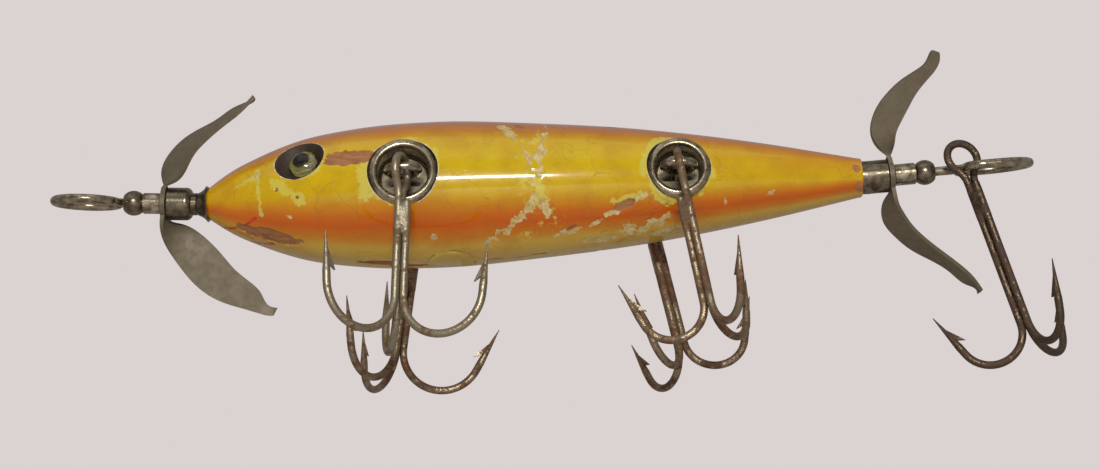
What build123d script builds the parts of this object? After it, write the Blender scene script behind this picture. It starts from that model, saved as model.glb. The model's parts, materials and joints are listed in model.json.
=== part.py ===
from build123d import *

import os
from math import asin, cos, radians, sin, sqrt

# A wooden twin-propeller minnow lure, in millimetres.
# Origin: centre of the line-tie eye. +X runs to the tail, +Z is the back of
# the fish, and -Y is its left side.

# ---- driving dimensions ----------------------------------------------------
body_length = 95.25          # wood from nose face to tail face
nose_station = 16.65         # line-tie centre to the wood's nose, along the front shaft
front_bend = 3.5             # the front shaft leans this many degrees to the back
rear_bend = 3.0              # the rear shaft leans this many degrees to the back

shaft_wire = 1.3             # both shafts
shaft_depth = 15.0           # how far each shaft is screwed into the wood
running_gap = 0.06           # radial clearance of a propeller on its shaft

tie_radius = 4.55            # centreline radius of the line-tie eye
tie_neck = 0.9               # bend between the eye and the straight shaft
tie_roll = 13.5              # eye plane turned about the shaft, from level

loop_radius = 5.3            # centreline half width of the tail loop
loop_corner = 2.0
loop_shoulder = 14.0         # tail face of the wood to the loop's straight shoulder
loop_end = 23.5              # tail face of the wood to the loop's far centreline
loop_neck = 1.0
loop_roll = 16.0

sheet = 0.6                  # propeller sheet
hub_radius = 2.3
hub_thickness = 0.7

cup_sheet = 0.35
hook_wire = 1.1
bundle_gap = 0.05            # the braze between two wires of a treble
arm_length = 6.9             # straight part of a hook, up to its point
point_length = 5.5           # the tapered part of the arm
eye_radius = 2.3             # centreline of the treble's eye
eye_throat = 3.0             # bends below the eye

screw_wire = 1.25
screw_width = 4.2            # centreline width of a screw eye
screw_bar = 1.2              # its straight outer bar
screw_gap = 8.0              # degrees left open where the ring meets the shank
screw_tip = 1.0              # tip of the screw, from the body axis

# name, station from the nose, rim plane, rim radius, mouth radius, depth, bar of the screw eye
front_cup = dict(station=29.5, rim=9.7, outer=4.9, mouth=3.6, depth=3.4, bar=11.6)
rear_cup = dict(station=68.1, rim=7.1, outer=4.5, mouth=3.3, depth=2.9, bar=9.2)

rear_right_cup = dict(station=63.6, rim=7.6, outer=4.5, mouth=3.3, depth=2.9, bar=9.9)
cups = dict(
    front_left=(front_cup, -1),
    front_right=(front_cup, 1),
    rear_left=(rear_cup, -1),
    rear_right=(rear_right_cup, 1),
)

# each treble: lean to the tail, swing to the right, direction of the single hook, radius of the
# bends, drop from the hinge to the lowest centreline, splay of the points
front_left_treble = (-3.0, 0.0, 343.0, 5.7, 24.8, 5.0)
front_right_treble = (-9.0, 6.0, 0.0, 5.7, 24.4, 22.0)
rear_left_treble = (8.4, 0.0, 173.0, 4.4, 25.2, 20.0)
rear_right_treble = (10.0, -4.0, 0.0, 4.4, 26.0, 20.0)
tail_treble = (13.5, 0.0, 286.0, 4.4, 28.6, 22.0)
tail_hook_offset = 2.3       # treble to the left of the shaft, on the loop's shoulder
hang_gap = 0.25              # between a screw eye's bar and the treble's eye
tail_eye_rise = 1.5          # the tail treble's eye stands this far above its shoulder

eye_station = 14.9
eye_lift = 22.0              # eye above the mid-line, seen from the nose
eye_slope = 18.0             # eye faces this far forward
socket_radius = 3.75         # of the scraped hollow, where it meets the wood
socket_depth = 2.6
glass_radius = 1.95
pupil_radius = 1.15

weight_station = 35.5
weight_radius = 3.4
slug_top, slug_bottom = 3.0, 9.0   # below the body axis
belly_radius = 10.42         # the wood at the ballast's station, a hair under the paint

os.makedirs("parts", exist_ok=True)


def save(piece, name):
    piece.label = name
    export_step(piece, f"parts/{name}.step")


# ---- reference planes: local X along the piece's own axis, local Y to the back
fb, rb = radians(front_bend), radians(rear_bend)
front = Plane(origin=(0, 0, 0), x_dir=(cos(fb), 0, -sin(fb)), z_dir=(0, -1, 0))
nose = front.from_local_coords(Vector(nose_station, 0, 0))
body = Plane(origin=nose, x_dir=(1, 0, 0), z_dir=(0, -1, 0))
tail_face = body.from_local_coords(Vector(body_length, 0, 0))
rear = Plane(origin=tail_face, x_dir=(cos(rb), 0, sin(rb)), z_dir=(0, -1, 0))


def spin_axis(plane):
    return Axis(plane.origin, plane.x_dir)


def across(plane, station):
    """A plane across a shaft, facing the tail, at a station along it."""
    return Plane(
        origin=plane.from_local_coords(Vector(station, 0, 0)),
        x_dir=plane.z_dir,
        z_dir=plane.x_dir,
    )


def rolled(plane, roll):
    """The same axis, turned so that local Y points across the fish, rolled up from level."""
    across_fish = Vector(0, cos(radians(roll)), sin(radians(roll)))
    return Plane(origin=plane.origin, x_dir=plane.x_dir, z_dir=plane.x_dir.cross(across_fish))


# ---- wood body ---------------------------------------------------------------
with BuildPart() as wood_blank:
    with BuildSketch(body):
        with BuildLine():
            Polyline((0, 0), (0, 1.45), (0.8, 2.1))
            Spline(
                (0.8, 2.1),
                (4.3, 4.5),
                (8.2, 6.36),
                (13.9, 8.44),
                (22.5, 9.95),
                (34.0, 10.5),
                (48.4, 9.7),
                (62.8, 8.33),
                (80.0, 5.68),
                (91.5, 3.4),
                (94.5, 2.75),
            )
            Polyline((94.5, 2.75), (94.5, 2.05), (body_length, 2.0), (body_length, 0), (0, 0))
        make_face()
    revolve(axis=spin_axis(body))


def side_plane(station, side, radius):
    """A plane facing out of the left or right side, at a distance from the body axis."""
    origin = body.from_local_coords(Vector(station, 0, 0)) + Vector(0, side * radius, 0)
    return Plane(origin=origin, x_dir=(1, 0, 0), z_dir=(0, side, 0))


def socket_plane(side):
    """The plane of a glass eye, on the wood's surface, facing out."""
    lift, slope = radians(eye_lift), radians(eye_slope)
    outward = Vector(0, side * cos(lift), sin(lift))
    facing = outward * cos(slope) - Vector(1, 0, 0) * sin(slope)
    origin = body.from_local_coords(Vector(eye_station, 0, 0)) + outward * 8.65
    return Plane(origin=origin, x_dir=(0, -side * sin(lift), cos(lift)), z_dir=facing)


belly = body.from_local_coords(Vector(weight_station, 0, 0))
with BuildPart() as ballast_hole:
    with BuildSketch(Plane(origin=belly - Vector(0, 0, slug_top), z_dir=(0, 0, -1))):
        Circle(weight_radius)
    extrude(amount=9)
drilled_blank = wood_blank.part - ballast_hole.part

with BuildPart() as wood_body:
    add(drilled_blank)
    with BuildSketch(across(front, nose_station - 1)):
        Circle(shaft_wire / 2)
    extrude(amount=shaft_depth + 1, mode=Mode.SUBTRACT)
    with BuildSketch(across(rear, 1)):
        Circle(shaft_wire / 2)
    extrude(amount=-shaft_depth - 1, mode=Mode.SUBTRACT)
    for cup, side in cups.values():
        with BuildSketch(side_plane(cup["station"], side, cup["rim"] - cup_sheet)):
            Circle(cup["outer"] + 0.05)
        extrude(amount=6, mode=Mode.SUBTRACT)
        with BuildSketch(side_plane(cup["station"], side, cup["rim"] - cup_sheet)):
            Circle(cup["mouth"] + cup_sheet)
        extrude(amount=-cup["depth"], mode=Mode.SUBTRACT)
        with BuildSketch(side_plane(cup["station"], side, screw_tip)):
            Circle(screw_wire / 2)
        extrude(amount=cup["rim"], mode=Mode.SUBTRACT)
    for side in (-1, 1):
        socket = socket_plane(side)
        with BuildSketch(Plane(origin=socket.origin, x_dir=socket.x_dir, z_dir=-socket.y_dir)):
            with BuildLine():
                well = glass_radius + 0.03
                Polyline((0, -socket_depth), (well, -socket_depth), (well, well - socket_radius))
                Polyline((well, well - socket_radius), (socket_radius + 3, 3), (0, 3), (0, -socket_depth))
            make_face()
        revolve(axis=Axis(socket.origin, socket.z_dir), mode=Mode.SUBTRACT)
save(wood_body.part, "wood_body")

# ---- belly ballast: a lead slug under a filler plug ---------------------------
with BuildPart() as belly_weight:
    with BuildSketch(Plane(origin=belly - Vector(0, 0, slug_top), z_dir=(0, 0, -1))):
        Circle(weight_radius)
    extrude(amount=slug_bottom - slug_top)
save(belly_weight.part, "belly_weight")

with BuildPart() as belly_plug:
    with BuildSketch(across(body, weight_station - 5)):
        Circle(belly_radius)
    extrude(amount=10)
    with BuildSketch(Plane(origin=belly - Vector(0, 0, slug_bottom), z_dir=(0, 0, -1))):
        Circle(weight_radius)
    extrude(amount=3, mode=Mode.INTERSECT)
save(belly_plug.part, "belly_plug")

# ---- cups and screw eyes ------------------------------------------------------
for name, (cup, side) in cups.items():
    rim = side_plane(cup["station"], side, cup["rim"])
    with BuildPart() as hook_cup:
        profile = Plane(origin=rim.origin, x_dir=(1, 0, 0), z_dir=(0, 0, side))
        with BuildSketch(profile):
            with BuildLine():
                hole = screw_wire / 2
                mouth, outer = cup["mouth"], cup["outer"]
                floor = -cup["depth"]
                Polyline(
                    (hole, floor - cup_sheet),
                    (mouth - 0.6 + cup_sheet, floor - cup_sheet),
                )
                ThreePointArc(
                    (mouth - 0.6 + cup_sheet, floor - cup_sheet),
                    (mouth + cup_sheet - 0.17, floor - cup_sheet + 0.17),
                    (mouth + cup_sheet, floor - cup_sheet + 0.6),
                )
                Polyline(
                    (mouth + cup_sheet, floor - cup_sheet + 0.6),
                    (mouth + cup_sheet, -cup_sheet),
                    (outer, -cup_sheet),
                )
                ThreePointArc((outer, -cup_sheet), (outer - 0.15, 0.08), (outer - 0.5, 0.3))
                ThreePointArc(
                    (outer - 0.5, 0.3),
                    (mouth + 0.25, 0.32),
                    (mouth, -0.2),
                )
                Polyline((mouth, -0.2), (mouth, floor + 0.4), (mouth - 0.4, floor), (hole, floor))
                Line((hole, floor), (hole, floor - cup_sheet))
            make_face()
        revolve(axis=Axis(rim.origin, rim.z_dir))
    save(hook_cup.part, f"{name}_cup")

    bar = side_plane(cup["station"], side, cup["bar"])
    flat = Plane(origin=bar.origin, x_dir=(1, 0, 0), z_dir=(0, 0, side))
    half, corner = screw_width / 2, (screw_width - screw_bar) / 2
    screw_depth = corner + half
    with BuildPart() as screw_eye:
        with BuildLine(flat) as ring:
            JernArc((0, -screw_depth), (1, 0), half, 90)
            JernArc((half, -corner), (0, 1), corner, 90)
            Line((screw_bar / 2, 0), (-screw_bar / 2, 0))
            JernArc((-screw_bar / 2, 0), (-1, 0), corner, 90)
            JernArc((-half, -corner), (0, -1), half, 90 - screw_gap)
        ring_wire = ring.wires()[0]
        with BuildSketch(Plane(origin=ring_wire @ 0, z_dir=ring_wire % 0)):
            Circle(screw_wire / 2)
        sweep(path=ring_wire)
        with BuildSketch(side_plane(cup["station"], side, cup["bar"] - screw_depth)):
            Circle(screw_wire / 2)
        extrude(amount=-(cup["bar"] - screw_depth - screw_tip))
    save(screw_eye.part, f"{name}_screw_eye")

# ---- glass eyes -----------------------------------------------------------------
dome_edge, dome_top, glass_back, iris_back = -0.8, 0.1, -2.0, -2.5
pupil_back = dome_edge + 0.2
dome_rise = dome_top - dome_edge
dome_radius = (glass_radius**2 + dome_rise**2) / (2 * dome_rise)
dome_centre = dome_top - dome_radius
pupil_edge = dome_centre + sqrt(dome_radius**2 - pupil_radius**2)
for side_name, side in (("left", -1), ("right", 1)):
    socket = socket_plane(side)
    section = Plane(origin=socket.origin, x_dir=socket.x_dir, z_dir=-socket.y_dir)
    with BuildPart() as eye_glass:
        with BuildSketch(section):
            with BuildLine():
                Polyline((pupil_radius, pupil_edge), (pupil_radius, pupil_back), (0, pupil_back))
                Polyline((0, pupil_back), (0, glass_back), (glass_radius, glass_back), (glass_radius, dome_edge))
                RadiusArc((glass_radius, dome_edge), (pupil_radius, pupil_edge), -dome_radius)
            make_face()
        revolve(axis=Axis(socket.origin, socket.z_dir))
    save(eye_glass.part, f"{side_name}_eye_glass")
    with BuildPart() as eye_pupil:
        with BuildSketch(section):
            with BuildLine():
                Polyline((0, dome_top), (0, pupil_back), (pupil_radius, pupil_back), (pupil_radius, pupil_edge))
                RadiusArc((pupil_radius, pupil_edge), (0, dome_top), -dome_radius)
            make_face()
        revolve(axis=Axis(socket.origin, socket.z_dir))
    save(eye_pupil.part, f"{side_name}_eye_pupil")
    with BuildPart() as eye_iris:
        with BuildSketch(socket.offset(iris_back)):
            Circle(glass_radius)
        extrude(amount=glass_back - iris_back)
    save(eye_iris.part, f"{side_name}_eye_iris")

# ---- front shaft with the line-tie eye -----------------------------------------
tie = rolled(front, tie_roll)
neck_x = sqrt(tie_radius**2 + 2 * tie_radius * tie_neck)
touch = tie_radius / (tie_radius + tie_neck)
with BuildPart() as line_tie:
    with BuildLine(tie) as tie_path:
        start = PolarLocations(tie_radius, 1, 14).locations[0].position
        joint = Vector(neck_x * touch, -tie_neck * touch)
        ThreePointArc((start.X, start.Y), (-tie_radius, 0), (joint.X, joint.Y))
        RadiusArc((joint.X, joint.Y), (neck_x, 0), tie_neck)
        Line((neck_x, 0), (nose_station + shaft_depth, 0))
    tie_wire = tie_path.wires()[0]
    with BuildSketch(Plane(origin=tie_wire @ 0, z_dir=tie_wire % 0)):
        Circle(shaft_wire / 2)
    sweep(path=tie_wire)
save(line_tie.part, "line_tie")

# ---- turned pieces on the front shaft --------------------------------------------
bore = shaft_wire / 2


def turned_bead(plane, start, end, radius):
    """A ball bored for the shaft, with a small flat at each end."""
    middle, half = (start + end) / 2, (end - start) / 2
    flat = sqrt(radius**2 - half**2)
    with BuildPart() as bead:
        with BuildSketch(plane):
            with BuildLine():
                Polyline((start, flat), (start, bore), (end, bore), (end, flat))
                ThreePointArc((end, flat), (middle, radius), (start, flat))
            make_face()
        revolve(axis=spin_axis(plane))
    return bead.part


def turned_sleeve(plane, start, end, radius):
    """A plain bearing sleeve with broken edges."""
    with BuildPart() as sleeve:
        with BuildSketch(across(plane, start)):
            Circle(radius)
            Circle(bore, mode=Mode.SUBTRACT)
        extrude(amount=end - start)
        chamfer(sleeve.edges().filter_by(GeomType.CIRCLE).group_by(lambda e: e.radius)[-1], 0.15)
    return sleeve.part


front_bead_start, front_bead_end = neck_x + 0.05, 8.1
front_hub = 10.85
save(turned_bead(front, front_bead_start, front_bead_end, 1.8), "front_bead")
save(turned_sleeve(front, front_bead_end, front_hub - 0.1, 1.5), "front_bearing")

thimble_start = front_hub + hub_thickness + 0.1
with BuildPart() as front_thimble:
    with BuildSketch(front):
        with BuildLine():
            Polyline((15.9, bore), (thimble_start, bore), (thimble_start, 2.1))
            ThreePointArc((thimble_start, 2.1), (thimble_start + 0.08, 2.28), (thimble_start + 0.25, 2.35))
            Line((thimble_start + 0.25, 2.35), (14.2, 2.35))
            ThreePointArc((14.2, 2.35), (14.9, 2.15), (15.2, 1.6))
            Polyline((15.2, 1.6), (15.9, 1.6), (15.9, bore))
        make_face()
    revolve(axis=spin_axis(front))
save(front_thimble.part, "front_thimble")

with BuildPart() as nose_cap:
    with BuildSketch(body):
        with BuildLine():
            Polyline((0, 1.0), (-0.6, 1.0), (-0.6, 1.6))
            ThreePointArc((-0.6, 1.6), (0.12, 1.98), (0.7, 2.6))
            Polyline((0.7, 2.6), (0.9, 2.5), (0.8, 2.2), (0, 1.53), (0, 1.0))
        make_face()
    revolve(axis=spin_axis(body))
save(nose_cap.part, "nose_cap")

# ---- rear shaft with the tail loop -------------------------------------------------
tail = rolled(rear, loop_roll)
bead_end = 9.85
flat_half = loop_radius - loop_corner
with BuildPart() as tail_loop:
    with BuildLine(tail) as loop_path:
        Line((-shaft_depth, 0), (loop_shoulder - loop_neck, 0))
        JernArc((loop_shoulder - loop_neck, 0), (1, 0), loop_neck, -90)
        Line((loop_shoulder, -loop_neck), (loop_shoulder, -flat_half))
        JernArc((loop_shoulder, -flat_half), (0, -1), loop_corner, 90)
        Line(
            (loop_shoulder + loop_corner, -loop_radius),
            (loop_end - loop_radius, -loop_radius),
        )
        JernArc((loop_end - loop_radius, -loop_radius), (1, 0), loop_radius, 180)
        Line(
            (loop_end - loop_radius, loop_radius),
            (loop_shoulder + loop_corner, loop_radius),
        )
        JernArc((loop_shoulder + loop_corner, loop_radius), (-1, 0), loop_corner, 90)
        Line((loop_shoulder, flat_half), (loop_shoulder, 0.55))
    loop_wire = loop_path.wires()[0]
    with BuildSketch(Plane(origin=loop_wire @ 0, z_dir=loop_wire % 0)):
        Circle(shaft_wire / 2)
    sweep(path=loop_wire)
save(tail_loop.part, "tail_loop")

with BuildPart() as tail_cap:
    with BuildSketch(rear):
        with BuildLine():
            Polyline((3.1, bore), (3.1, 2.2))
            ThreePointArc((3.1, 2.2), (3.05, 2.33), (2.9, 2.375))
            Polyline((2.9, 2.375), (0.15, 2.375), (0.15, bore), (3.1, bore))
        make_face()
    revolve(axis=spin_axis(rear))
    with BuildSketch(body):
        with BuildLine():
            Polyline(
                (body_length - 0.7, 2.12),
                (body_length - 0.7, 2.38),
                (body_length + 0.4, 2.38),
                (body_length + 0.4, 2.12),
                (body_length - 0.7, 2.12),
            )
        make_face()
    revolve(axis=spin_axis(body))
save(tail_cap.part, "tail_cap")

rear_hub = 3.2
rear_bearing_start, rear_bearing_end = rear_hub + hub_thickness + 0.1, 7.15
save(turned_sleeve(rear, rear_bearing_start, rear_bearing_end, 1.55), "rear_bearing")
save(turned_bead(rear, rear_bearing_end, bead_end, 1.8), "rear_bead")


# ---- propellers ----------------------------------------------------------------------
# A blade's stations run from the hub to the tip: aft of the hub's middle, radius,
# width of the sheet, and twist out of the hub's plane in degrees.
front_upper = (
    (0.0, 1.6, 3.2, 0),
    (0.1, 2.8, 3.8, 16),
    (0.6, 4.0, 4.8, 38),
    (1.6, 5.8, 5.4, 42),
    (3.1, 8.0, 5.4, 34),
    (5.4, 10.0, 4.8, 26),
    (8.0, 11.9, 3.8, 21),
    (10.7, 13.9, 2.5, 19),
    (12.5, 15.6, 1.3, 18),
)
front_lower = (
    (0.0, 1.6, 3.2, 0),
    (0.2, 2.8, 3.4, 12),
    (1.2, 4.0, 4.0, 45),
    (2.9, 5.6, 5.0, 70),
    (5.0, 7.8, 5.7, 82),
    (7.2, 10.1, 5.6, 84),
    (10.2, 12.2, 4.6, 84),
    (13.4, 13.9, 2.9, 84),
    (16.2, 15.2, 1.2, 84),
)
rear_upper = (
    (0.0, 1.6, 3.0, 0),
    (0.0, 2.8, 3.0, 10),
    (-0.2, 4.0, 3.1, 45),
    (-0.5, 6.0, 3.7, 78),
    (0.3, 8.3, 4.1, 80),
    (1.9, 10.5, 3.8, 80),
    (3.7, 12.4, 3.0, 78),
    (5.8, 14.0, 2.1, 76),
    (7.4, 15.5, 1.8, 76),
    (8.1, 17.2, 1.0, 76),
)
rear_lower = (
    (0.0, 1.6, 3.0, 0),
    (0.0, 2.8, 3.2, 6),
    (-0.3, 4.0, 3.6, 22),
    (-0.2, 5.6, 4.0, 34),
    (1.0, 7.8, 4.1, 32),
    (2.9, 9.9, 3.8, 30),
    (5.3, 11.8, 3.0, 28),
    (8.1, 14.1, 2.4, 28),
    (10.2, 16.2, 1.8, 28),
    (11.4, 17.8, 1.0, 28),
)


def propeller(plane, hub, lean, blades, hand):
    """Two sheet blades on a bored hub. lean turns the first blade to the left of the back."""
    shaft = plane.x_dir
    left = plane.z_dir
    back = plane.y_dir
    centre = plane.from_local_coords(Vector(hub + hub_thickness / 2, 0, 0))
    with BuildPart() as prop:
        with BuildSketch(across(plane, hub)):
            Circle(hub_radius)
        extrude(amount=hub_thickness)
        for number, stations in enumerate(blades):
            turn = radians(lean + 180 * number)
            out = back * cos(turn) + left * sin(turn)
            tangential = shaft.cross(out)
            points = [centre + shaft * aft + out * radius for aft, radius, width, twist in stations]
            for place, (aft, radius, width, twist) in enumerate(stations):
                before = points[max(place - 1, 0)]
                after = points[min(place + 1, len(points) - 1)]
                along = (after - before).normalized() if place else out
                face = along.cross(tangential)
                chord = tangential * cos(radians(twist)) + face * (hand * sin(radians(twist)))
                with BuildSketch(Plane(origin=points[place], x_dir=chord, z_dir=along)):
                    Rectangle(width, sheet)
            loft()
        with BuildSketch(across(plane, hub - 1)):
            Circle(bore + running_gap)
        extrude(amount=hub_thickness + 2, mode=Mode.SUBTRACT)
    return prop.part


save(propeller(front, front_hub, 20, (front_upper, front_lower), 1), "front_propeller")
save(propeller(rear, rear_hub, 20, (rear_upper, rear_lower), -1), "rear_propeller")


# ---- treble hooks ------------------------------------------------------------------------
spacing = hook_wire + bundle_gap
bundle_radius = spacing / sqrt(3)
throat_drop = sqrt((eye_radius + eye_throat) ** 2 - (spacing / 2 + eye_throat) ** 2)


class Treble:
    """The planes and sizes of one treble hook that hangs from a hinge point."""

    def __init__(self, hinge, eye_height, shape):
        lean, swing, single, self.bend, self.drop, self.splay = shape
        self.hinge, self.eye_height = hinge, eye_height
        self.up = Vector(-sin(radians(lean)), 0, cos(radians(lean))).rotate(Axis.X, swing)
        aft = Vector(cos(radians(lean)), 0, sin(radians(lean))).rotate(Axis.X, swing)
        right = Vector(0, 1, 0).rotate(Axis.X, swing)
        self.directions = [
            aft * cos(radians(angle)) + right * sin(radians(angle))
            for angle in (single, single + 120, single + 240)
        ]
        self.middle = hinge + self.directions[0] * (bundle_radius / 2)

    def leg(self, number):
        """The plane of one leg: local X away from the shank, local Y up it."""
        out = self.directions[number]
        return Plane(origin=self.middle, x_dir=out, z_dir=out.cross(self.up))

    def arm(self, number):
        """The plane of one straight arm, from the end of the bend: local Y along it."""
        leg = self.leg(number)
        slant = radians(self.splay)
        centre = Vector(bundle_radius + self.bend, self.bend - self.drop)
        outward = leg.x_dir * cos(slant) - self.up * sin(slant)
        origin = leg.from_local_coords(centre) + outward * self.bend
        return Plane(origin=origin, x_dir=outward, z_dir=leg.z_dir)

    def eye(self):
        """The plane of the eye: local X across it, local Y up the shank."""
        side = (self.directions[1] - self.directions[2]).normalized()
        origin = self.hinge + self.up * self.eye_height
        return Plane(origin=origin, x_dir=side, z_dir=side.cross(self.up))

    def draw(self, number, top):
        """The points of one leg: shank top, bend, and both ends of its plain arm."""
        leg, arm = self.leg(number), self.arm(number)
        return [
            leg.from_local_coords(Vector(bundle_radius, top)),
            leg.from_local_coords(Vector(bundle_radius, self.bend - self.drop)),
            leg.from_local_coords(Vector(bundle_radius + self.bend, -self.drop)),
            arm.origin,
            arm.from_local_coords(Vector(0, arm_length - point_length)),
        ]


def hook_points(arms):
    """A tapered, barbed point at the end of each arm."""
    with BuildPart() as points:
        for arm in arms:
            root = arm.from_local_coords(Vector(0, arm_length - point_length))
            tip = arm.from_local_coords(Vector(0, arm_length))
            with BuildSketch(Plane(origin=root, z_dir=arm.y_dir)):
                Circle(hook_wire / 2)
            with BuildSketch(Plane(origin=tip, z_dir=arm.y_dir)):
                Circle(0.06)
            loft()
            with BuildSketch(arm):
                with BuildLine():
                    Polyline(
                        (-0.15, arm_length - 2.2),
                        (-1.35, arm_length - 5.3),
                        (-0.2, arm_length - 4.4),
                        (-0.15, arm_length - 2.2),
                    )
                make_face()
            extrude(amount=0.2, both=True)
    return points.part


def double_hook(treble):
    """One wire with an eye in its middle and a hook at each end."""
    eye = treble.eye()
    half = spacing / 2
    share = eye_radius / (eye_radius + eye_throat)
    meet_x, meet_y = (half + eye_throat) * share, -throat_drop * share
    turn = asin(throat_drop / (eye_radius + eye_throat)) / 2
    mid_x = half + eye_throat - eye_throat * cos(turn)
    mid_y = -throat_drop + eye_throat * sin(turn)

    def on_eye(x, y):
        return eye.from_local_coords(Vector(x, y))

    first, second = [treble.draw(number, treble.eye_height - throat_drop) for number in (1, 2)]
    if (on_eye(half, -throat_drop) - first[0]).length > spacing / 2:
        first, second = second, first
    with BuildPart() as hook:
        with BuildLine() as wire:
            Line(first[4], first[3])
            ThreePointArc(first[3], first[2], first[1])
            Line(first[1], first[0])
            ThreePointArc(first[0], on_eye(mid_x, mid_y), on_eye(meet_x, meet_y))
            ThreePointArc(on_eye(meet_x, meet_y), on_eye(0, eye_radius), on_eye(-meet_x, meet_y))
            ThreePointArc(on_eye(-meet_x, meet_y), on_eye(-mid_x, mid_y), second[0])
            Line(second[0], second[1])
            ThreePointArc(second[1], second[2], second[3])
            Line(second[3], second[4])
        path = wire.wires()[0]
        with BuildSketch(Plane(origin=path @ 0, z_dir=path % 0)):
            Circle(hook_wire / 2)
        sweep(path=path)
        add(hook_points([treble.arm(1), treble.arm(2)]))
    return hook.part


def single_hook(treble):
    """The third hook, brazed along the shank of the double one."""
    points = treble.draw(0, treble.eye_height - throat_drop - 0.5)
    with BuildPart() as hook:
        with BuildLine() as wire:
            Line(points[0], points[1])
            ThreePointArc(points[1], points[2], points[3])
            Line(points[3], points[4])
        path = wire.wires()[0]
        with BuildSketch(Plane(origin=path @ 0, z_dir=path % 0)):
            Circle(hook_wire / 2)
        sweep(path=path)
        add(hook_points([treble.arm(0)]))
    return hook.part


hang = (eye_radius - hook_wire / 2) - screw_wire / 2 - hang_gap
shapes = dict(
    front_left=front_left_treble,
    front_right=front_right_treble,
    rear_left=rear_left_treble,
    rear_right=rear_right_treble,
)
for name, (cup, side) in cups.items():
    hinge = side_plane(cup["station"], side, cup["bar"]).origin
    treble = Treble(hinge, -hang, shapes[name])
    save(double_hook(treble), f"{name}_double_hook")
    save(single_hook(treble), f"{name}_single_hook")

tail_hinge = tail.from_local_coords(Vector(loop_shoulder, -tail_hook_offset, 0))
treble = Treble(tail_hinge, tail_eye_rise, tail_treble)
save(double_hook(treble), "tail_double_hook")
save(single_hook(treble), "tail_single_hook")
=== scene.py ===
import json
import math

import bpy
import numpy as np
from mathutils import Matrix, Vector


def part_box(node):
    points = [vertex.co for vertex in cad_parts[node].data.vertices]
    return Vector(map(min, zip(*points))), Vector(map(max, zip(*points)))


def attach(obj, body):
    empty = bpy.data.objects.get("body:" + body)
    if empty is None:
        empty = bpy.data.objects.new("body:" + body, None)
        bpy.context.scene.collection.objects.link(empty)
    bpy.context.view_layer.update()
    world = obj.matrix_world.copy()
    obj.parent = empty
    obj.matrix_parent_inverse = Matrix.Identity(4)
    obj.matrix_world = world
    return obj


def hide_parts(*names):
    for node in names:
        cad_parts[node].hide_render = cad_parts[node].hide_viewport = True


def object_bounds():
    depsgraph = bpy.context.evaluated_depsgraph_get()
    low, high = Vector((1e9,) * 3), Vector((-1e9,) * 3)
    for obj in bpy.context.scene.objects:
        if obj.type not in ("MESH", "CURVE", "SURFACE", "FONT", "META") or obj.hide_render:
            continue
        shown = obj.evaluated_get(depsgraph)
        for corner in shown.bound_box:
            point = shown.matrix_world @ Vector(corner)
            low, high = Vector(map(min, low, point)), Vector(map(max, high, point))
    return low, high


# Looks of an old wooden minnow with two propellers, built round its CAD frame. Metres,
# apart from stations and radii, which are millimetres until they are scaled by MM.
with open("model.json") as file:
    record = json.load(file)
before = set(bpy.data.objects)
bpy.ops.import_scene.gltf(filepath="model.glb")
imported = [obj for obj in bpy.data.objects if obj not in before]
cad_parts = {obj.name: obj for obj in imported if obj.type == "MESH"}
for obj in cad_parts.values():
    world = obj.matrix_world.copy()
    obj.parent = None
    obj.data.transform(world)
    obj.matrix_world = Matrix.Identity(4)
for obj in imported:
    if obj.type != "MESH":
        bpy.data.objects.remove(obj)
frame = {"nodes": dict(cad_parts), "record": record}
cad_low, cad_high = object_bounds()

MM = 0.001
wood_low, wood_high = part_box("wood_body")
nose_x = wood_low.x
axis_z = (wood_low.z + wood_high.z) / 2
body_mm = (wood_high.x - wood_low.x) / MM

# The turned outline: distance from the nose and radius, in millimetres.
OUTLINE = (
    (0.0, 1.45), (0.8, 2.1), (4.3, 4.5), (8.2, 6.36), (13.9, 8.44), (22.5, 9.95), (34.0, 10.5),
    (48.4, 9.7), (62.8, 8.33), (80.0, 5.68), (91.5, 3.4), (94.5, 2.78),
)
CUP_SHEET, CUP_LIP = 0.35, 1.3  # sheet, and how far the rim stands out past the mouth
CUP_BULGE = 0.32                # the rim's highest point above its flange


def read_cups():
    """(side, station, rim radius, rim plane, depth) of each cup in millimetres, from its CAD box."""
    found = []
    for name in frame["nodes"]:
        if name.endswith("_cup"):
            low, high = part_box(name)
            side = -1 if low.y < 0 else 1
            outermost, innermost = max(-low.y, high.y) / MM, min(abs(low.y), abs(high.y)) / MM
            plane = outermost - CUP_BULGE
            station = ((low.x + high.x) / 2 - nose_x) / MM
            found.append((side, station, (high.x - low.x) / 2 / MM, plane, plane - innermost))
    return found


CUPS = read_cups()

# The eye sockets: station, degrees above the mid-line, degrees that the socket faces
# forward of straight out, and distance of its rim from the body axis.
EYE_STATION, EYE_LIFT, EYE_SLOPE, EYE_RADIUS = 14.9, 22.0, 18.0, 8.65


# ---- small numeric helpers -------------------------------------------------------
def outline_radius(stations):
    """Radius of the wood at stations along it, by a smooth cubic through OUTLINE."""
    points = np.array(OUTLINE)
    xs, rs = points[:, 0], points[:, 1]
    slopes = np.gradient(rs, xs)
    spot = np.clip(np.searchsorted(xs, stations) - 1, 0, len(xs) - 2)
    step = xs[spot + 1] - xs[spot]
    t = np.clip((stations - xs[spot]) / step, 0, 1)
    h00 = 2 * t**3 - 3 * t**2 + 1
    h10 = t**3 - 2 * t**2 + t
    h01 = -2 * t**3 + 3 * t**2
    h11 = t**3 - t**2
    return (
        h00 * rs[spot] + h10 * step * slopes[spot] + h01 * rs[spot + 1] + h11 * step * slopes[spot + 1]
    )


rng = np.random.default_rng(7)
LATTICE = rng.random((64, 64, 64)).astype(np.float32)


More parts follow.
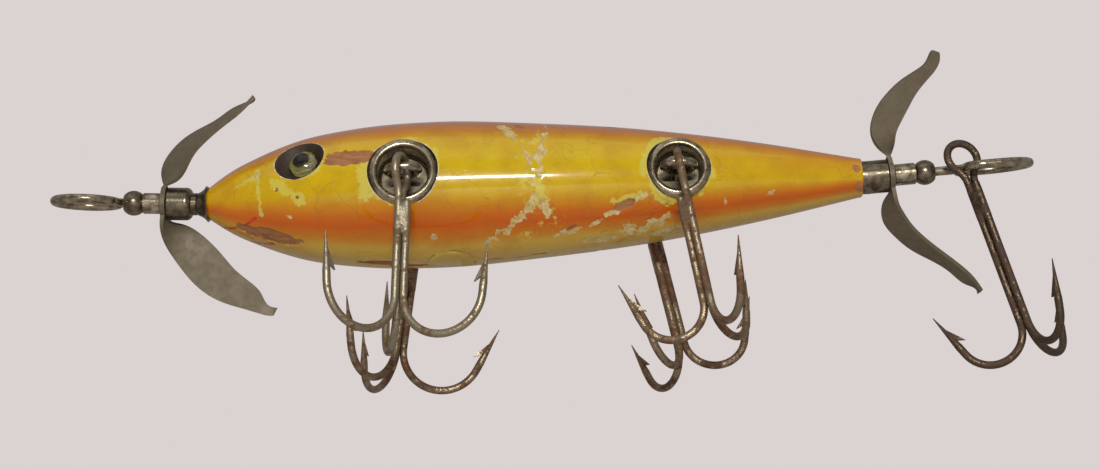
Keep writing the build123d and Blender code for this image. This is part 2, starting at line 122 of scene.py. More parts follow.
def noise(points, scale):
    """Smooth value noise, 0 to 1, at points in millimetres."""
    p = points / scale + 1000.0
    cell = np.floor(p).astype(int)
    f = p - cell
    f = f * f * (3 - 2 * f)
    total = 0
    for corner in range(8):
        offset = np.array([(corner >> k) & 1 for k in range(3)])
        c = (cell + offset) % 64
        weight = np.prod(np.where(offset, f, 1 - f), axis=1)
        total = total + weight * LATTICE[c[:, 0], c[:, 1], c[:, 2]]
    return total


def rough(points, scale, octaves=4):
    """Layered noise about zero, roughly -0.5 to 0.5."""
    value, gain, norm = 0.0, 1.0, 0.0
    for octave in range(octaves):
        value = value + gain * (noise(points + 17.3 * octave, scale / 2**octave) - 0.5)
        norm += gain
        gain *= 0.55
    return value / norm


def smooth(edge0, edge1, x):
    """A smooth step from 0 at edge0 to 1 at edge1."""
    t = np.clip((x - edge0) / (edge1 - edge0), 0, 1)
    return t * t * (3 - 2 * t)


# ---- materials ----------------------------------------------------------------------
class Shader:
    """A material with a Principled shader and short calls for the nodes it uses."""

    def __init__(self, name):
        self.material = bpy.data.materials.new(name)
        self.material.use_nodes = True
        self.nodes = self.material.node_tree.nodes
        self.links = self.material.node_tree.links
        self.bsdf = self.nodes["Principled BSDF"]
        self.coords = self.nodes.new("ShaderNodeTexCoord").outputs["Object"]

    def put(self, socket, value):
        if isinstance(value, bpy.types.NodeSocket):
            self.links.new(value, socket)
        else:
            socket.default_value = value

    def set(self, **values):
        for name, value in values.items():
            self.put(self.bsdf.inputs[name.replace("_", " ")], value)
        return self

    def noise(self, scale, detail=4.0, roughness=0.55, distortion=0.0, vector=None):
        node = self.nodes.new("ShaderNodeTexNoise")
        self.put(node.inputs["Vector"], self.coords if vector is None else vector)
        self.put(node.inputs["Scale"], scale)
        self.put(node.inputs["Detail"], detail)
        self.put(node.inputs["Roughness"], roughness)
        self.put(node.inputs["Distortion"], distortion)
        return node.outputs["Fac"]

    def cracks(self, scale, vector=None):
        node = self.nodes.new("ShaderNodeTexVoronoi")
        node.feature = "DISTANCE_TO_EDGE"
        self.put(node.inputs["Vector"], self.coords if vector is None else vector)
        self.put(node.inputs["Scale"], scale)
        return node.outputs["Distance"]

    def math(self, operation, a, b=0.0):
        node = self.nodes.new("ShaderNodeMath")
        node.operation = operation
        self.put(node.inputs[0], a)
        self.put(node.inputs[1], b)
        return node.outputs[0]

    def step(self, value, low, high, to_low=0.0, to_high=1.0):
        node = self.nodes.new("ShaderNodeMapRange")
        node.interpolation_type = "SMOOTHSTEP"
        self.put(node.inputs["Value"], value)
        self.put(node.inputs["From Min"], low)
        self.put(node.inputs["From Max"], high)
        self.put(node.inputs["To Min"], to_low)
        self.put(node.inputs["To Max"], to_high)
        return node.outputs["Result"]

    def mix(self, factor, a, b, blend="MIX"):
        node = self.nodes.new("ShaderNodeMix")
        node.data_type = "RGBA"
        node.blend_type = blend
        self.put(node.inputs[0], factor)
        self.put(node.inputs[6], a)
        self.put(node.inputs[7], b)
        return node.outputs[2]

    def attribute(self, name, output="Fac"):
        node = self.nodes.new("ShaderNodeAttribute")
        node.attribute_name = name
        return node.outputs[output]

    def stretch(self, x, y, z):
        node = self.nodes.new("ShaderNodeMapping")
        self.put(node.inputs["Vector"], self.coords)
        node.inputs["Scale"].default_value = (x, y, z)
        return node.outputs["Vector"]

    def bump(self, height, strength, distance):
        node = self.nodes.new("ShaderNodeBump")
        node.inputs["Strength"].default_value = strength
        node.inputs["Distance"].default_value = distance
        self.put(node.inputs["Height"], height)
        self.links.new(node.outputs["Normal"], self.bsdf.inputs["Normal"])
        return self


def linear(r, g, b):
    """An sRGB colour of 0 to 255 as linear RGBA."""
    channels = []
    for value in (r / 255, g / 255, b / 255):
        channels.append(value / 12.92 if value <= 10 / 255 else ((value + 0.055) / 1.055) ** 2.4)
    return (*channels, 1.0)


def old_metal(name, dark, light, stain, gloss=0.32, stains=0.45, metal=0.92):
    """Aged plating: cloudy tone, brown stains, fine pits and scratches."""
    s = Shader(name)
    cloud = s.step(s.noise(900, 5, 0.6), 0.35, 0.65)
    tone = s.mix(cloud, dark, light)
    blotch = s.step(s.noise(350, 6, 0.65, 0.6), 0.62 - 0.22 * stains, 0.72)
    tone = s.mix(s.math("MULTIPLY", blotch, 0.8), tone, stain)
    pits = s.step(s.noise(3800, 3, 0.6), 0.66, 0.74)
    tone = s.mix(s.math("MULTIPLY", pits, 0.6), tone, stain)
    uneven = s.math("ADD", s.math("MULTIPLY", blotch, 0.22), s.math("MULTIPLY", cloud, -0.08))
    s.set(Base_Color=tone, Metallic=metal, Roughness=s.math("ADD", uneven, gloss))
    relief = s.math("ADD", s.math("MULTIPLY", pits, -1.0), s.math("MULTIPLY", s.noise(1500, 4, 0.6), 0.8))
    return s.bump(relief, 0.35, 0.00006).material


def rusty_steel(name, steel, brown, orange, rust):
    """Hook wire whose plating has gone: dark steel under patches of brown and orange rust."""
    s = Shader(name)
    patch = s.step(s.noise(420, 7, 0.7, 0.4), 0.62 - 0.34 * rust, 0.66 - 0.22 * rust)
    bloom = s.step(s.noise(1300, 5, 0.65), 0.45, 0.7)
    tone = s.mix(patch, steel, s.mix(bloom, brown, orange))
    grime = s.step(s.noise(2600, 3, 0.6), 0.55, 0.75)
    tone = s.mix(s.math("MULTIPLY", grime, 0.55), tone, linear(28, 20, 15))
    s.set(
        Base_Color=tone,
        Metallic=s.step(patch, 0.0, 1.0, 0.9, 0.25),
        Roughness=s.step(patch, 0.0, 1.0, 0.34, 0.68),
    )
    relief = s.math("ADD", s.math("MULTIPLY", patch, 0.6), s.noise(2400, 5, 0.7))
    return s.bump(relief, 0.6, 0.0001).material


def bare_wood_nodes(s):
    """Colour of the exposed, dirty cedar with its lengthwise grain."""
    grain = s.noise(1.0, 5, 0.6, 0.3, s.stretch(260, 2200, 2200))
    tone = s.mix(s.step(grain, 0.3, 0.7), linear(138, 94, 62), linear(166, 118, 82))
    return s.mix(s.step(s.noise(500, 4), 0.5, 0.7, 0.0, 0.5), tone, linear(112, 74, 46))


def bare_wood():
    """The wood inside the recesses: grained cedar darkened almost to black as painted shade, with
    olive-brown grime patches.
    """
    s = Shader("bare_wood")
    # Painted shade: the recess wood is mixed 93% towards near-black.
    tone = s.mix(0.93, bare_wood_nodes(s), linear(24, 18, 11))
    grime = s.step(s.noise(700, 4), 0.5, 0.7, 0.0, 0.7)
    s.set(Base_Color=s.mix(grime, tone, linear(58, 50, 28)), Roughness=0.6)
    return s.bump(s.noise(1.0, 4, 0.6, 0.2, s.stretch(300, 2600, 2600)), 0.5, 0.0001).material


def filler():
    """The plug over the belly weight, painted with the belly."""
    s = Shader("painted_filler")
    s.set(Base_Color=s.mix(s.noise(600, 5), linear(178, 150, 56), linear(200, 172, 74)), Roughness=0.4)
    return s.bump(s.noise(900, 4), 0.3, 0.0001).material


def paint():
    """Sprayed bands under old varnish, with chips, undercoat, crazing and dirt."""
    s = Shader("old_paint")
    fine = s.math("SUBTRACT", s.noise(1600, 6, 0.65), 0.5)
    mottle = s.noise(260, 5, 0.6)
    colour = s.attribute("band", "Color")
    colour = s.mix(s.step(mottle, 0.35, 0.75, 0.0, 0.28), colour, linear(150, 84, 22))
    dust = s.step(s.noise(5200, 2, 0.5), 0.66, 0.74, 0.0, 0.35)
    colour = s.mix(dust, colour, linear(92, 60, 24))
    pale = s.step(s.math("ADD", s.attribute("pale"), s.math("MULTIPLY", fine, 1.8)), -0.05, 0.2)
    undercoat = s.mix(mottle, linear(192, 182, 60), linear(200, 188, 92))
    colour = s.mix(s.math("MULTIPLY", pale, 0.85), colour, undercoat)
    cream = s.step(s.math("ADD", s.attribute("cream"), s.math("MULTIPLY", fine, 2.6)), 0.0, 0.22)
    flake = s.step(s.noise(1300, 5, 0.7), 0.35, 0.65)
    colour = s.mix(cream, colour, s.mix(flake, linear(206, 190, 142), linear(176, 150, 84)))
    red = s.step(s.math("ADD", s.attribute("red"), s.math("MULTIPLY", fine, 0.7)), 0.0, 0.2)
    colour = s.mix(s.math("MULTIPLY", red, 0.9), colour, linear(186, 36, 12))
    bare = s.step(s.math("ADD", s.attribute("bare"), s.math("MULTIPLY", fine, 0.8)), -0.01, 0.04)
    colour = s.mix(bare, colour, bare_wood_nodes(s))
    warp = s.nodes.new("ShaderNodeVectorMath")
    warp.operation = "ADD"
    s.links.new(s.stretch(1.0, 1.0, 1.0), warp.inputs[0])
    wobble = s.nodes.new("ShaderNodeTexNoise")
    wobble.inputs["Scale"].default_value = 300
    s.links.new(s.coords, wobble.inputs["Vector"])
    shrink = s.nodes.new("ShaderNodeVectorMath")
    shrink.operation = "SCALE"
    shrink.inputs["Scale"].default_value = 0.004
    s.links.new(wobble.outputs["Color"], shrink.inputs[0])
    s.links.new(shrink.outputs["Vector"], warp.inputs[1])
    craze = s.step(s.cracks(230, warp.outputs["Vector"]), 0.0, 0.018, 1.0, 0.0)
    craze = s.math("MULTIPLY", craze, s.step(s.noise(120, 3), 0.42, 0.62))
    colour = s.mix(s.math("MULTIPLY", craze, 0.3), colour, linear(110, 72, 26))
    raw = s.math("MAXIMUM", bare, s.math("MULTIPLY", cream, 0.55))
    s.set(
        Base_Color=colour,
        Specular_IOR_Level=0.1,
        Roughness=s.step(raw, 0.0, 1.0, 0.22, 0.7),
        Coat_Weight=s.step(raw, 0.0, 0.8, 1.0, 0.0),
        Coat_Roughness=0.07,
        Coat_IOR=1.42,
    )
    relief = s.math("SUBTRACT", s.math("MULTIPLY", s.noise(420, 3, 0.5), 0.5), s.math("MULTIPLY", bare, 0.9))
    relief = s.math("SUBTRACT", relief, s.math("MULTIPLY", cream, 0.35))
    relief = s.math("SUBTRACT", relief, s.math("MULTIPLY", craze, 0.35))
    relief = s.math("ADD", relief, s.math("MULTIPLY", s.noise(2200, 3), 0.06))
    return s.bump(relief, 0.5, 0.00012).material


def eye_glass():
    s = Shader("old_eye_glass")
    s.set(Base_Color=linear(250, 246, 222), Transmission_Weight=1.0, Roughness=0.03, IOR=1.5)
    return s.bump(s.noise(900, 2), 0.05, 0.00005).material


def eye_iris():
    s = Shader("painted_iris")
    tone = s.mix(s.noise(2500, 4, 0.6), linear(188, 180, 84), linear(232, 224, 132))
    cloud = s.step(s.noise(700), 0.5, 0.7, 0.0, 0.5)
    s.set(Base_Color=s.mix(cloud, tone, linear(110, 96, 40)), Roughness=0.35)
    return s.bump(s.noise(3000), 0.2, 0.00005).material


def eye_pupil():
    s = Shader("black_glass")
    s.set(Base_Color=s.mix(s.noise(1500), linear(4, 4, 5), linear(10, 9, 9)), Roughness=0.06)
    return s.bump(s.noise(700, 2), 0.04, 0.00005).material


def lead():
    s = Shader("dull_lead")
    tone = s.mix(s.noise(800), linear(70, 70, 74), linear(104, 104, 108))
    s.set(Base_Color=tone, Metallic=0.8, Roughness=0.6)
    return s.bump(s.noise(1500), 0.3, 0.0001).material


PLATE_STAIN = linear(74, 58, 40)
materials = {
    "wire": old_metal("aged_wire", linear(116, 106, 88), linear(178, 168, 148), PLATE_STAIN, 0.26),
    "turned": old_metal(
        "aged_turned_brass", linear(112, 102, 84), linear(190, 180, 160), PLATE_STAIN, 0.22
    ),
    "dark_turned": old_metal(
        "darkened_turned_brass", linear(96, 87, 72), linear(136, 126, 108), linear(66, 54, 42), 0.28, 0.4
    ),
    "cup": old_metal(
        "aged_cup", linear(118, 108, 88), linear(180, 170, 146), linear(92, 76, 52), 0.26, 0.5
    ),
    "blade": old_metal(
        "aged_blade", linear(100, 90, 73), linear(107, 97, 79), linear(88, 78, 62), 0.6, 0.1, 0.3
    ),
    "nickel_hook": rusty_steel(
        "worn_nickel_hook", linear(158, 148, 128), linear(104, 84, 60), linear(122, 90, 58), 0.32
    ),
    "rusty_hook": rusty_steel(
        "rusty_hook", linear(150, 134, 112), linear(92, 68, 48), linear(128, 88, 54), 0.5
    ),
    "dark_hook": rusty_steel(
        "bronzed_hook", linear(96, 82, 68), linear(72, 54, 42), linear(96, 66, 46), 0.45
    ),
    "eye_glass": eye_glass(),
    "eye_iris": eye_iris(),
    "eye_pupil": eye_pupil(),
    "bare": bare_wood(),
    "filler": filler(),
    "paint": paint(),
    "lead": lead(),
}


def material_of(node):
    """The key in materials of a CAD node's finish."""
    if "hook" in node:
        if node.startswith("tail"):
            return "dark_hook"
        return "nickel_hook" if node.startswith("front_left") else "rusty_hook"
    for word, name in (
        ("propeller", "blade"), ("cup", "cup"), ("eye_glass", "eye_glass"), ("eye_iris", "eye_iris"),
        ("eye_pupil", "eye_pupil"), ("line_tie", "wire"), ("tail_loop", "wire"), ("screw_eye", "wire"),
        ("weight", "lead"), ("plug", "filler"), ("wood", "paint"), ("thimble", "dark_turned"),
        ("nose_cap", "dark_turned"), ("tail_cap", "dark_turned"), ("bead", "dark_turned"),
    ):
        if word in node:
            return name
    return "turned"


for node_name, node_object in frame["nodes"].items():
    node_object.data.materials.clear()
    node_object.data.materials.append(materials[material_of(node_name)])


# ---- painted wood body -------------------------------------------------------------
def add_mesh(name, vertices, faces, material):
    """A smooth-shaded mesh object with one of the materials."""
    mesh = bpy.data.meshes.new(name)
    mesh.from_pydata([tuple(v) for v in vertices], [], faces)
    mesh.materials.append(materials[material])
    mesh.polygons.foreach_set("use_smooth", [True] * len(mesh.polygons))
    obj = bpy.data.objects.new(name, mesh)
    bpy.context.scene.collection.objects.link(obj)
    return obj


def blot(points, station, lift, angle, centre, size, turn=0.0, ragged=0.7):
    """A ragged oval patch at a station and angle: positive inside, in units of its own size."""
    u = station - centre[0]
    v = np.radians(angle - centre[1]) * lift
    c, s = math.cos(math.radians(turn)), math.sin(math.radians(turn))
    a, b = (u * c + v * s) / (size[0] / 2), (v * c - u * s) / (size[1] / 2)
    return 1 - np.sqrt(a * a + b * b) + ragged * (rough(points, 3.2, 2) + 0.8 * rough(points + 70, 1.1, 3))


def stroke(points, station, lift, angle, route, width, ragged=0.8):
    """A ragged line through stations and angles: positive inside."""
    best = np.full(len(station), 1e9)
    for (a0, b0), (a1, b1) in zip(route, route[1:]):
        u, v = station - a0, np.radians(angle - b0) * lift
        du, dv = a1 - a0, np.radians(b1 - b0) * lift
        t = np.clip((u * du + v * dv) / (du * du + dv * dv), 0, 1)
        best = np.minimum(best, np.hypot(u - t * du, v - t * dv))
    return 0.7 - best / (width / 2) + ragged * (rough(points, 0.9) * 3.0 + rough(points + 60, 3.0) * 2.4)


# What has come off the near (left) side, by station from the nose in millimetres
# and angle above the mid-line in degrees.
BARE_SPOTS = (
    ((21.9, 14.0), (8.2, 2.7), 0.0), ((9.9, -64.0), (9.8, 2.2), 0.0), ((25.4, -90.0), (7.0, 2.6), 0.0),
    ((41.5, -94.0), (4.0, 1.8), 0.0), ((60.2, -38.0), (3.3, 1.3), 22.0), ((45.8, 48.0), (1.6, 1.0), -40.0),
    ((48.0, -96.0), (4.5, 2.5), 0.0), ((59.0, 60.0), (1.6, 0.8), 0.0), ((93.6, 8.0), (1.3, 1.6), 0.0),
    ((93.9, -50.0), (1.2, 1.8), 0.0), ((52.7, -57.0), (1.8, 0.7), 30.0), ((11.6, -9.0), (0.5, 0.6), 0.0),
    ((14.6, -18.0), (0.5, 0.5), 0.0), ((14.2, 2.0), (1.6, 1.0), -20.0),
)
CREAM_STROKES = (
    (((43.4, 48.0), (47.0, 7.0), (47.7, -15.0), (49.6, -41.0)), 1.5),
    (((49.9, 45.0), (48.6, 7.0), (48.4, -15.0), (46.3, -40.0), (43.0, -58.0)), 1.7),
    (((42.4, -56.0), (41.2, -64.0)), 1.8),
    (((57.6, -46.0), (59.4, -42.0)), 0.8), (((61.4, -34.0), (63.2, -30.0)), 0.9),
    (((62.0, -72.0), (66.4, -52.0)), 1.0),
)
CREAM_SPOTS = (
    ((52.4, -60.0), (4.8, 1.4), 10.0), ((56.0, -54.0), (2.6, 0.8), 35.0), ((60.6, -66.0), (2.6, 2.8), 0.0),
    ((64.5, -60.0), (2.6, 1.3), -20.0), ((13.4, -37.0), (1.0, 0.8), 0.0), ((9.1, -34.0), (0.6, 0.8), 0.0),
    ((8.6, 14.0), (0.7, 1.5), 0.0), ((57.0, -74.0), (6.0, 1.6), 0.0), ((67.0, -76.0), (6.0, 1.8), 0.0),
    ((33.4, -56.0), (1.2, 1.2), 0.0), ((81.0, -38.0), (1.6, 0.9), 0.0), ((74.5, -44.0), (0.5, 2.0), 0.0),
)
PALE_STROKES = (
    (((8.7, 20.0), (9.2, -36.0)), 1.0),
    (((11.2, -4.0), (14.9, -20.0)), 2.3),
    (((5.5, 4.0), (9.0, 14.0)), 1.0),
    (((24.0, 6.0), (24.6, -18.0)), 3.2),
    (((63.4, 12.0), (63.0, -8.0)), 1.4),
    (((58.6, -34.0), (62.6, -30.0)), 1.6),
)
RED_STROKES = (
    (((2.9, -88.0), (5.1, -67.0), (8.4, -41.0)), 0.55),
    (((7.6, -90.0), (10.4, -77.0)), 0.9),
    (((5.3, -75.0), (7.6, -82.0)), 0.35),
)
FAR_BARE_SHIFT, FAR_CREAM_SHIFT = 4.0, -3.0   # how the right side's damage is shifted
SOCKET_RIM = 3.8                              # radius of an eye socket's edge
WORN_STATION = 48.0                           # middle of the most rubbed stretch
BANDS = (  # angle above the mid-line, sRGB
    (-90, (196, 166, 72)), (-66, (196, 160, 58)), (-57, (190, 118, 12)), (-46, (188, 84, 0)),
    (-37, (192, 100, 0)), (-28, (194, 132, 0)), (-19, (196, 162, 4)), (8, (198, 170, 6)),
    (26, (196, 160, 6)), (38, (188, 124, 20)), (50, (174, 98, 44)), (90, (152, 80, 50)),
)


def plug_edge(points, station):
    """The pale ring and the crack round the belly plug."""
    low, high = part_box("belly_plug")
    centre = ((low.x + high.x) / 2 - nose_x) / MM
    edge = np.hypot(station - centre, points[:, 1]) - (high.x - low.x) / 2 / MM
    ring = 0.5 - np.abs(edge + 0.3) / 0.5 + 2.4 * rough(points + 21, 1.6)
    crack = 0.2 - np.abs(edge) / 0.22 + 1.8 * rough(points + 51, 1.2)
    under = points[:, 2] < 0
    return np.where(under, ring, -1.0), np.where(under, crack, -1.0)


def tint(band, amount, colour):
    """Shifts the sprayed colour towards another one."""
    return band * (1 - amount) + amount * np.array(linear(*colour)[:3])


def body_fields(points, station, radius, angle, near):
    """The layers over the body, positive where each shows, and the sprayed colour."""
    lift = np.maximum(radius, 1.0)
    args = (points, station, lift, angle)
    bare_shift, cream_shift = np.where(near, 0.0, FAR_BARE_SHIFT), np.where(near, 0.0, FAR_CREAM_SHIFT)
    bare = np.full(len(station), -1.0)
    for centre, size, turn in BARE_SPOTS:
        bare = np.maximum(bare, blot(points, station - bare_shift, lift, angle, centre, size, turn))
    cream = np.full(len(station), -1.0)
    for route, width in CREAM_STROKES:
        cream = np.maximum(cream, np.where(near, stroke(*args, route, width), -1.0))
    for centre, size, turn in CREAM_SPOTS:
        cream = np.maximum(cream, blot(points, station - cream_shift, lift, angle, centre, size, turn))
    red = np.full(len(station), -1.0)
    for route, width in RED_STROKES:
        red = np.maximum(red, stroke(*args, route, width, 0.15))
    pale = np.full(len(station), -1.0)
    for side, centre, rim, plane, depth in CUPS:
        across = np.hypot(station - centre, radius * np.sin(np.radians(angle)))
        ring = 0.2 - np.abs(across - rim) / 1.1 + 4.0 * rough(points + 40, 4.2, 3)
        here = (np.abs(angle) < 62) & (near == (side < 0))
        pale = np.maximum(pale, np.where(here, ring, -1.0))
    for route, width in PALE_STROKES:
        pale = np.maximum(pale, np.where(near, stroke(*args, route, width, 0.45), -1.0))
    eye = np.hypot(station - EYE_STATION, np.radians(angle - EYE_LIFT) * lift)
    pale = np.maximum(pale, -0.3 - np.abs(eye - SOCKET_RIM) / 0.6 + 3.2 * rough(points + 90, 2.6))
    worn = -0.1 - np.abs(station - WORN_STATION) / 10 + 2.2 * rough(points + 9, 2.2, 5)
    pale = np.maximum(pale, worn)
    ring, crack = plug_edge(points, station)
    pale, bare = np.maximum(pale, ring), np.maximum(bare, crack)
    warp = angle + 14 * rough(points + 5, 22.0, 3) + 5 * rough(points + 33, 5.0, 3)
    angles = [b[0] for b in BANDS]
    colours = np.array([linear(*b[1])[:3] for b in BANDS])
    band = np.stack([np.interp(warp, angles, colours[:, k]) for k in range(3)], axis=1)
    band = tint(band, 0.25 * smooth(12, 2, station)[:, None], (214, 130, 12))
    tail_fade = smooth(60, 92, station) * smooth(-30, 10, angle)
    band = tint(band, 0.45 * tail_fade[:, None], (190, 118, 30))
    return dict(bare=bare, cream=cream, red=red, pale=pale), band


def ring_grid(rows, columns):
    """Quads of a closed tube of rows by columns, capped at both ends."""
    faces = []
    for i in range(rows - 1):
        for j in range(columns):
            k = (j + 1) % columns
            faces.append((i * columns + j, (i + 1) * columns + j, (i + 1) * columns + k, i * columns + k))
    faces.append(tuple(range(columns)))
    faces.append(tuple(reversed(range((rows - 1) * columns, rows * columns))))
    return faces


def make_body():
    """The wood body, lathed along OUTLINE, with its layers as attributes of its vertices."""
    rows, columns = ((560, 360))
    end = OUTLINE[-1][0]
    along = np.concatenate([[0.0], np.linspace(0.05, end, rows - 4), [end + 0.02, end + 0.4, body_mm]])
    rows = len(along)
    radius = outline_radius(along)
    radius[-3:] = (2.1, 2.03, 1.98)
    turn = np.linspace(0, 2 * math.pi, columns, endpoint=False)
    station = np.repeat(along, columns)
    r = np.repeat(radius, columns)
    t = np.tile(turn, rows)
    points = np.stack([station, r * np.cos(t), r * np.sin(t)], axis=1)
    angle = np.degrees(np.arctan2(points[:, 2], np.abs(points[:, 1])))
    fields, band = body_fields(points, station, r, angle, points[:, 1] < 0)
    lost = smooth(-0.02, 0.05, fields["bare"])
    thinned = smooth(0.0, 0.12, fields["cream"])
    free = smooth(0.6, 2.0, station) * smooth(end - 0.1, end - 0.8, station)
    wander = 0.05 * rough(points, 14.0, 2) - 0.03
    depth = free * (wander - 0.13 * lost - 0.05 * thinned)
    r = r + depth
    vertices = np.stack(
        [nose_x + station * MM, r * np.cos(t) * MM, axis_z + r * np.sin(t) * MM], axis=1
    )
    body = add_mesh("painted_body", vertices, ring_grid(rows, columns), "paint")
    for name, values in fields.items():
        layer = body.data.attributes.new(name, "FLOAT", "POINT")
        layer.data.foreach_set("value", values.astype(np.float32))
    colour = body.data.attributes.new("band", "FLOAT_COLOR", "POINT")
    rgba = np.concatenate([band, np.ones((len(band), 1))], axis=1).astype(np.float32)
    colour.data.foreach_set("color", rgba.ravel())
    # The recess faces cut by drill() take this material, which is darkened as painted shade.
    body.data.materials.append(materials["bare"])
    return body


def drill(target, location, direction, profile):
    """Cuts a turned recess: profile lists (height along direction, radius), deepest first."""
    sides = 96
    direction = Vector(direction).normalized()
    turn = direction.to_track_quat("Z", "Y").to_matrix()
    vertices, faces = [], []
    for height, radius in profile:
        for j in range(sides):
            a = 2 * math.pi * j / sides
            spot = Vector((radius * math.cos(a), radius * math.sin(a), height)) * MM
            vertices.append(Vector(location) + turn @ spot)
    for i in range(len(profile) - 1):
        for j in range(sides):
            k = (j + 1) % sides
            faces.append((i * sides + j, i * sides + k, (i + 1) * sides + k, (i + 1) * sides + j))
    faces.append(tuple(reversed(range(sides))))
    faces.append(tuple(range((len(profile) - 1) * sides, len(profile) * sides)))
    cutter = add_mesh("cutter", vertices, faces, "bare")
    cut = target.modifiers.new("cut", "BOOLEAN")
    cut.operation, cut.solver, cut.object = "DIFFERENCE", "MANIFOLD", cutter
    bpy.context.view_layer.objects.active = target
    bpy.ops.object.modifier_apply(modifier="cut")
    bpy.data.objects.remove(cutter)


body = make_body()
for side, station, rim, plane, depth in CUPS:
    spot = (nose_x + station * MM, side * plane * MM, axis_z)
    mouth = rim - CUP_LIP + CUP_SHEET + 0.01
    seat = rim + 0.06
    profile = ((-depth - 0.01, mouth), (-CUP_SHEET - 0.01, mouth), (-CUP_SHEET, seat), (6.0, seat))
    drill(body, spot, (0, side, 0), profile)
for side in (-1, 1):
    lift, slope = math.radians(EYE_LIFT), math.radians(EYE_SLOPE)
    out = Vector((0, side * math.cos(lift), math.sin(lift)))
    facing = out * math.cos(slope) - Vector((math.sin(slope), 0, 0))
    spot = Vector((nose_x + EYE_STATION * MM, 0, axis_z)) + out * EYE_RADIUS * MM
    profile = ((-2.6, 1.99), (-1.75, 1.99), (-1.55, 2.3), (-1.0, 3.0), (-0.4, 3.55), (0.1, 3.85), (3.0, 4.6))
    drill(body, spot, facing, profile)
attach(body, "lure")
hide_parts("wood_body")

# ---- braze where the three wires of each treble are joined ------------------------------
WIRE, BUNDLE = 0.55, 0.664        # radius of a hook wire, and of the ring its three centres lie on
THROAT, BRAZE_LENGTH = 5.2, 5.0   # hinge to the top of the braze, and its length
TAIL_RISE = 1.9                   # the tail treble's braze starts this much higher
TREBLES = {  # slot, then lean to the tail, swing to the right and direction of the single hook
    "front_left": ("hook_nickel", -3.0, 0.0, 343.0),
    "front_right": ("hook_rusty", -9.0, 6.0, 0.0),
    "rear_left": ("hook_rusty", 8.4, 0.0, 173.0),
    "rear_right": ("hook_rusty", 10.0, -4.0, 0.0),
    "tail": ("hook_dark", 13.5, 0.0, 286.0),
}


def braze_radius(angle, fill):
    """Outline round three wires: with fill 0 it dips between them, with 1 it spans them flat."""
    radius = WIRE * 1.05
    best = 0.3
    for k in range(3):
        apart = (angle - 2 * math.pi * k / 3 + math.pi) % (2 * math.pi) - math.pi
        reach = radius**2 - (BUNDLE * math.sin(apart)) ** 2
        if reach > 0 and abs(apart) < math.pi / 2:
            best = max(best, BUNDLE * math.cos(apart) + math.sqrt(reach))
        apart = (angle - 2 * math.pi * (k + 0.5) / 3 + math.pi) % (2 * math.pi) - math.pi
        if abs(apart) < 0.56:
            flat = (BUNDLE / 2 + radius) / math.cos(apart)
            best = max(best, flat - (1 - fill) * 0.42)
    return best


def add_braze(name, slot, lean, swing, single, hinge, rise):
    """A sleeve of braze down the three shank wires of one treble."""
    turn = Matrix.Rotation(math.radians(swing), 3, "X")
    lean, single = math.radians(lean), math.radians(single)
    up = turn @ Vector((-math.sin(lean), 0, math.cos(lean)))
    aft = turn @ Vector((math.cos(lean), 0, math.sin(lean)))
    right = turn @ Vector((0, 1, 0))
    first = aft * math.cos(single) + right * math.sin(single)
    second = first.cross(up)
    middle = hinge + first * BUNDLE / 2 * MM
    rows, columns = 25, 72
    vertices = []
    for i in range(rows):
        along = i / (rows - 1)
        fill = min(1.0, 4 * along * (1 - along) * 1.6)
        shrink = 0.0 if 0 < i < rows - 1 else 0.06
        for j in range(columns):
            angle = 2 * math.pi * j / columns
            radius = (braze_radius(angle, fill) - shrink) * MM
            spot = middle + up * (rise - THROAT - along * BRAZE_LENGTH) * MM
            vertices.append(spot + (first * math.cos(angle) + second * math.sin(angle)) * radius)
    piece = add_mesh(f"{name}_braze", vertices, ring_grid(rows, columns), material_of(f"{name}_hook"))
    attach(piece, f"{name}_treble")


for joint in frame["record"]["behaviour"]["joints"]:
    name = joint["child"].removesuffix("_treble")
    if name in TREBLES:
        rise = TAIL_RISE if name == "tail" else 0.0
        add_braze(name, *TREBLES[name], Vector(joint["pos_m"]), rise)

# ---- camera, light, floor -----------------------------------------------------------
VIEW_DOWN, VIEW_ROLL, VIEW_DISTANCE, LENS = 20.0, 2.3, 0.307, 70.0
AIM_STATION, AIM_DROP = 49.9, 6.4


def add_camera():
    """The camera, below and square to the left side; returns the point it looks at."""
    tilt, roll = math.radians(VIEW_DOWN), math.radians(VIEW_ROLL)
    ahead = Vector((0, math.cos(tilt), math.sin(tilt)))
    up = Vector((0, -math.sin(tilt), math.cos(tilt)))
    right = Vector((1, 0, 0))
    rolled_right = right * math.cos(roll) - up * math.sin(roll)
    rolled_up = up * math.cos(roll) + right * math.sin(roll)
    aim = Vector((nose_x + AIM_STATION * MM, 0, axis_z)) - rolled_up * AIM_DROP * MM
    data = bpy.data.cameras.new("camera")
    data.lens = LENS
    data.clip_start, data.clip_end = 0.01, 20
    camera = bpy.data.objects.new("camera", data)
    bpy.context.scene.collection.objects.link(camera)
    matrix = Matrix((rolled_right, rolled_up, -ahead)).transposed().to_4x4()
    matrix.translation = aim - ahead * VIEW_DISTANCE
    camera.matrix_world = matrix
    bpy.context.scene.camera = camera
    return aim


def add_softbox(name, aim, azimuth, elevation, distance, size, power, colour):
    """A rectangular light that faces aim from an azimuth and elevation in degrees."""
    a, e = math.radians(azimuth), math.radians(elevation)
    away = Vector((math.sin(a) * math.cos(e), -math.cos(a) * math.cos(e), math.sin(e)))
    data = bpy.data.lights.new(name, "AREA")
    data.shape, data.size, data.size_y = "RECTANGLE", size[0], size[1]
    data.energy, data.color = power, colour
    light = bpy.data.objects.new(name, data)
    light.location = aim + away * distance
    light.rotation_mode = "QUATERNION"
    light.rotation_quaternion = away.to_track_quat("Z", "Y")
    bpy.context.scene.collection.objects.link(light)


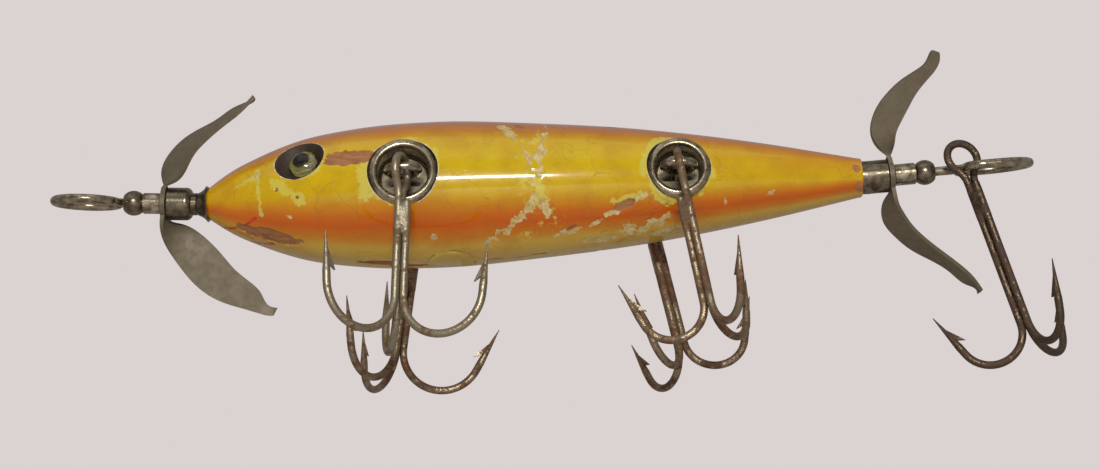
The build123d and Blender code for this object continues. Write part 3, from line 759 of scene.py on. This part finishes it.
aim = add_camera()
add_softbox("key", aim, 1, 5, 0.9, (0.24, 0.03), 5.0, (1.0, 0.97, 0.92))
add_softbox("top", aim, -20, 60, 1.1, (1.3, 0.9), 1.5, (1.0, 0.98, 0.96))

bpy.context.scene.view_settings.view_transform = "Standard"
world = bpy.data.worlds.new("studio")
bpy.context.scene.world = world
world.use_nodes = True
sky_nodes, sky_links = world.node_tree.nodes, world.node_tree.links
backdrop = sky_nodes["Background"]
backdrop.inputs["Color"].default_value = linear(219, 211, 209)
room = sky_nodes.new("ShaderNodeBackground")
height = sky_nodes.new("ShaderNodeSeparateXYZ")
sky_links.new(sky_nodes.new("ShaderNodeTexCoord").outputs["Generated"], height.inputs["Vector"])
fade = sky_nodes.new("ShaderNodeMapRange")
fade.interpolation_type = "SMOOTHSTEP"
for name, value in (("From Min", -0.7), ("From Max", 0.8), ("To Min", 0.15), ("To Max", 0.34)):
    fade.inputs[name].default_value = value
sky_links.new(height.outputs["Z"], fade.inputs["Value"])
sky_links.new(fade.outputs["Result"], room.inputs["Strength"])
room.inputs["Color"].default_value = linear(255, 248, 240)
seen = sky_nodes.new("ShaderNodeLightPath")
choose = sky_nodes.new("ShaderNodeMixShader")
sky_links.new(seen.outputs["Is Camera Ray"], choose.inputs[0])
sky_links.new(room.outputs[0], choose.inputs[1])
sky_links.new(backdrop.outputs[0], choose.inputs[2])
sky_links.new(choose.outputs[0], sky_nodes["World Output"].inputs["Surface"])

floor_shader = Shader("pale_card")
floor_tone = floor_shader.mix(floor_shader.noise(30), linear(222, 214, 212), linear(230, 224, 222))
floor_shader.set(Base_Color=floor_tone, Roughness=0.9)
floor_shader.bump(floor_shader.noise(900), 0.1, 0.0002)
materials["floor"] = floor_shader.material
floor_z, floor_half = cad_low.z - 0.16, 3.0
floor = add_mesh(
    "floor",
    [(-floor_half, -floor_half, floor_z), (floor_half, -floor_half, floor_z),
     (floor_half, floor_half, floor_z), (-floor_half, floor_half, floor_z)],
    [(0, 1, 2, 3)],
    "floor",
)
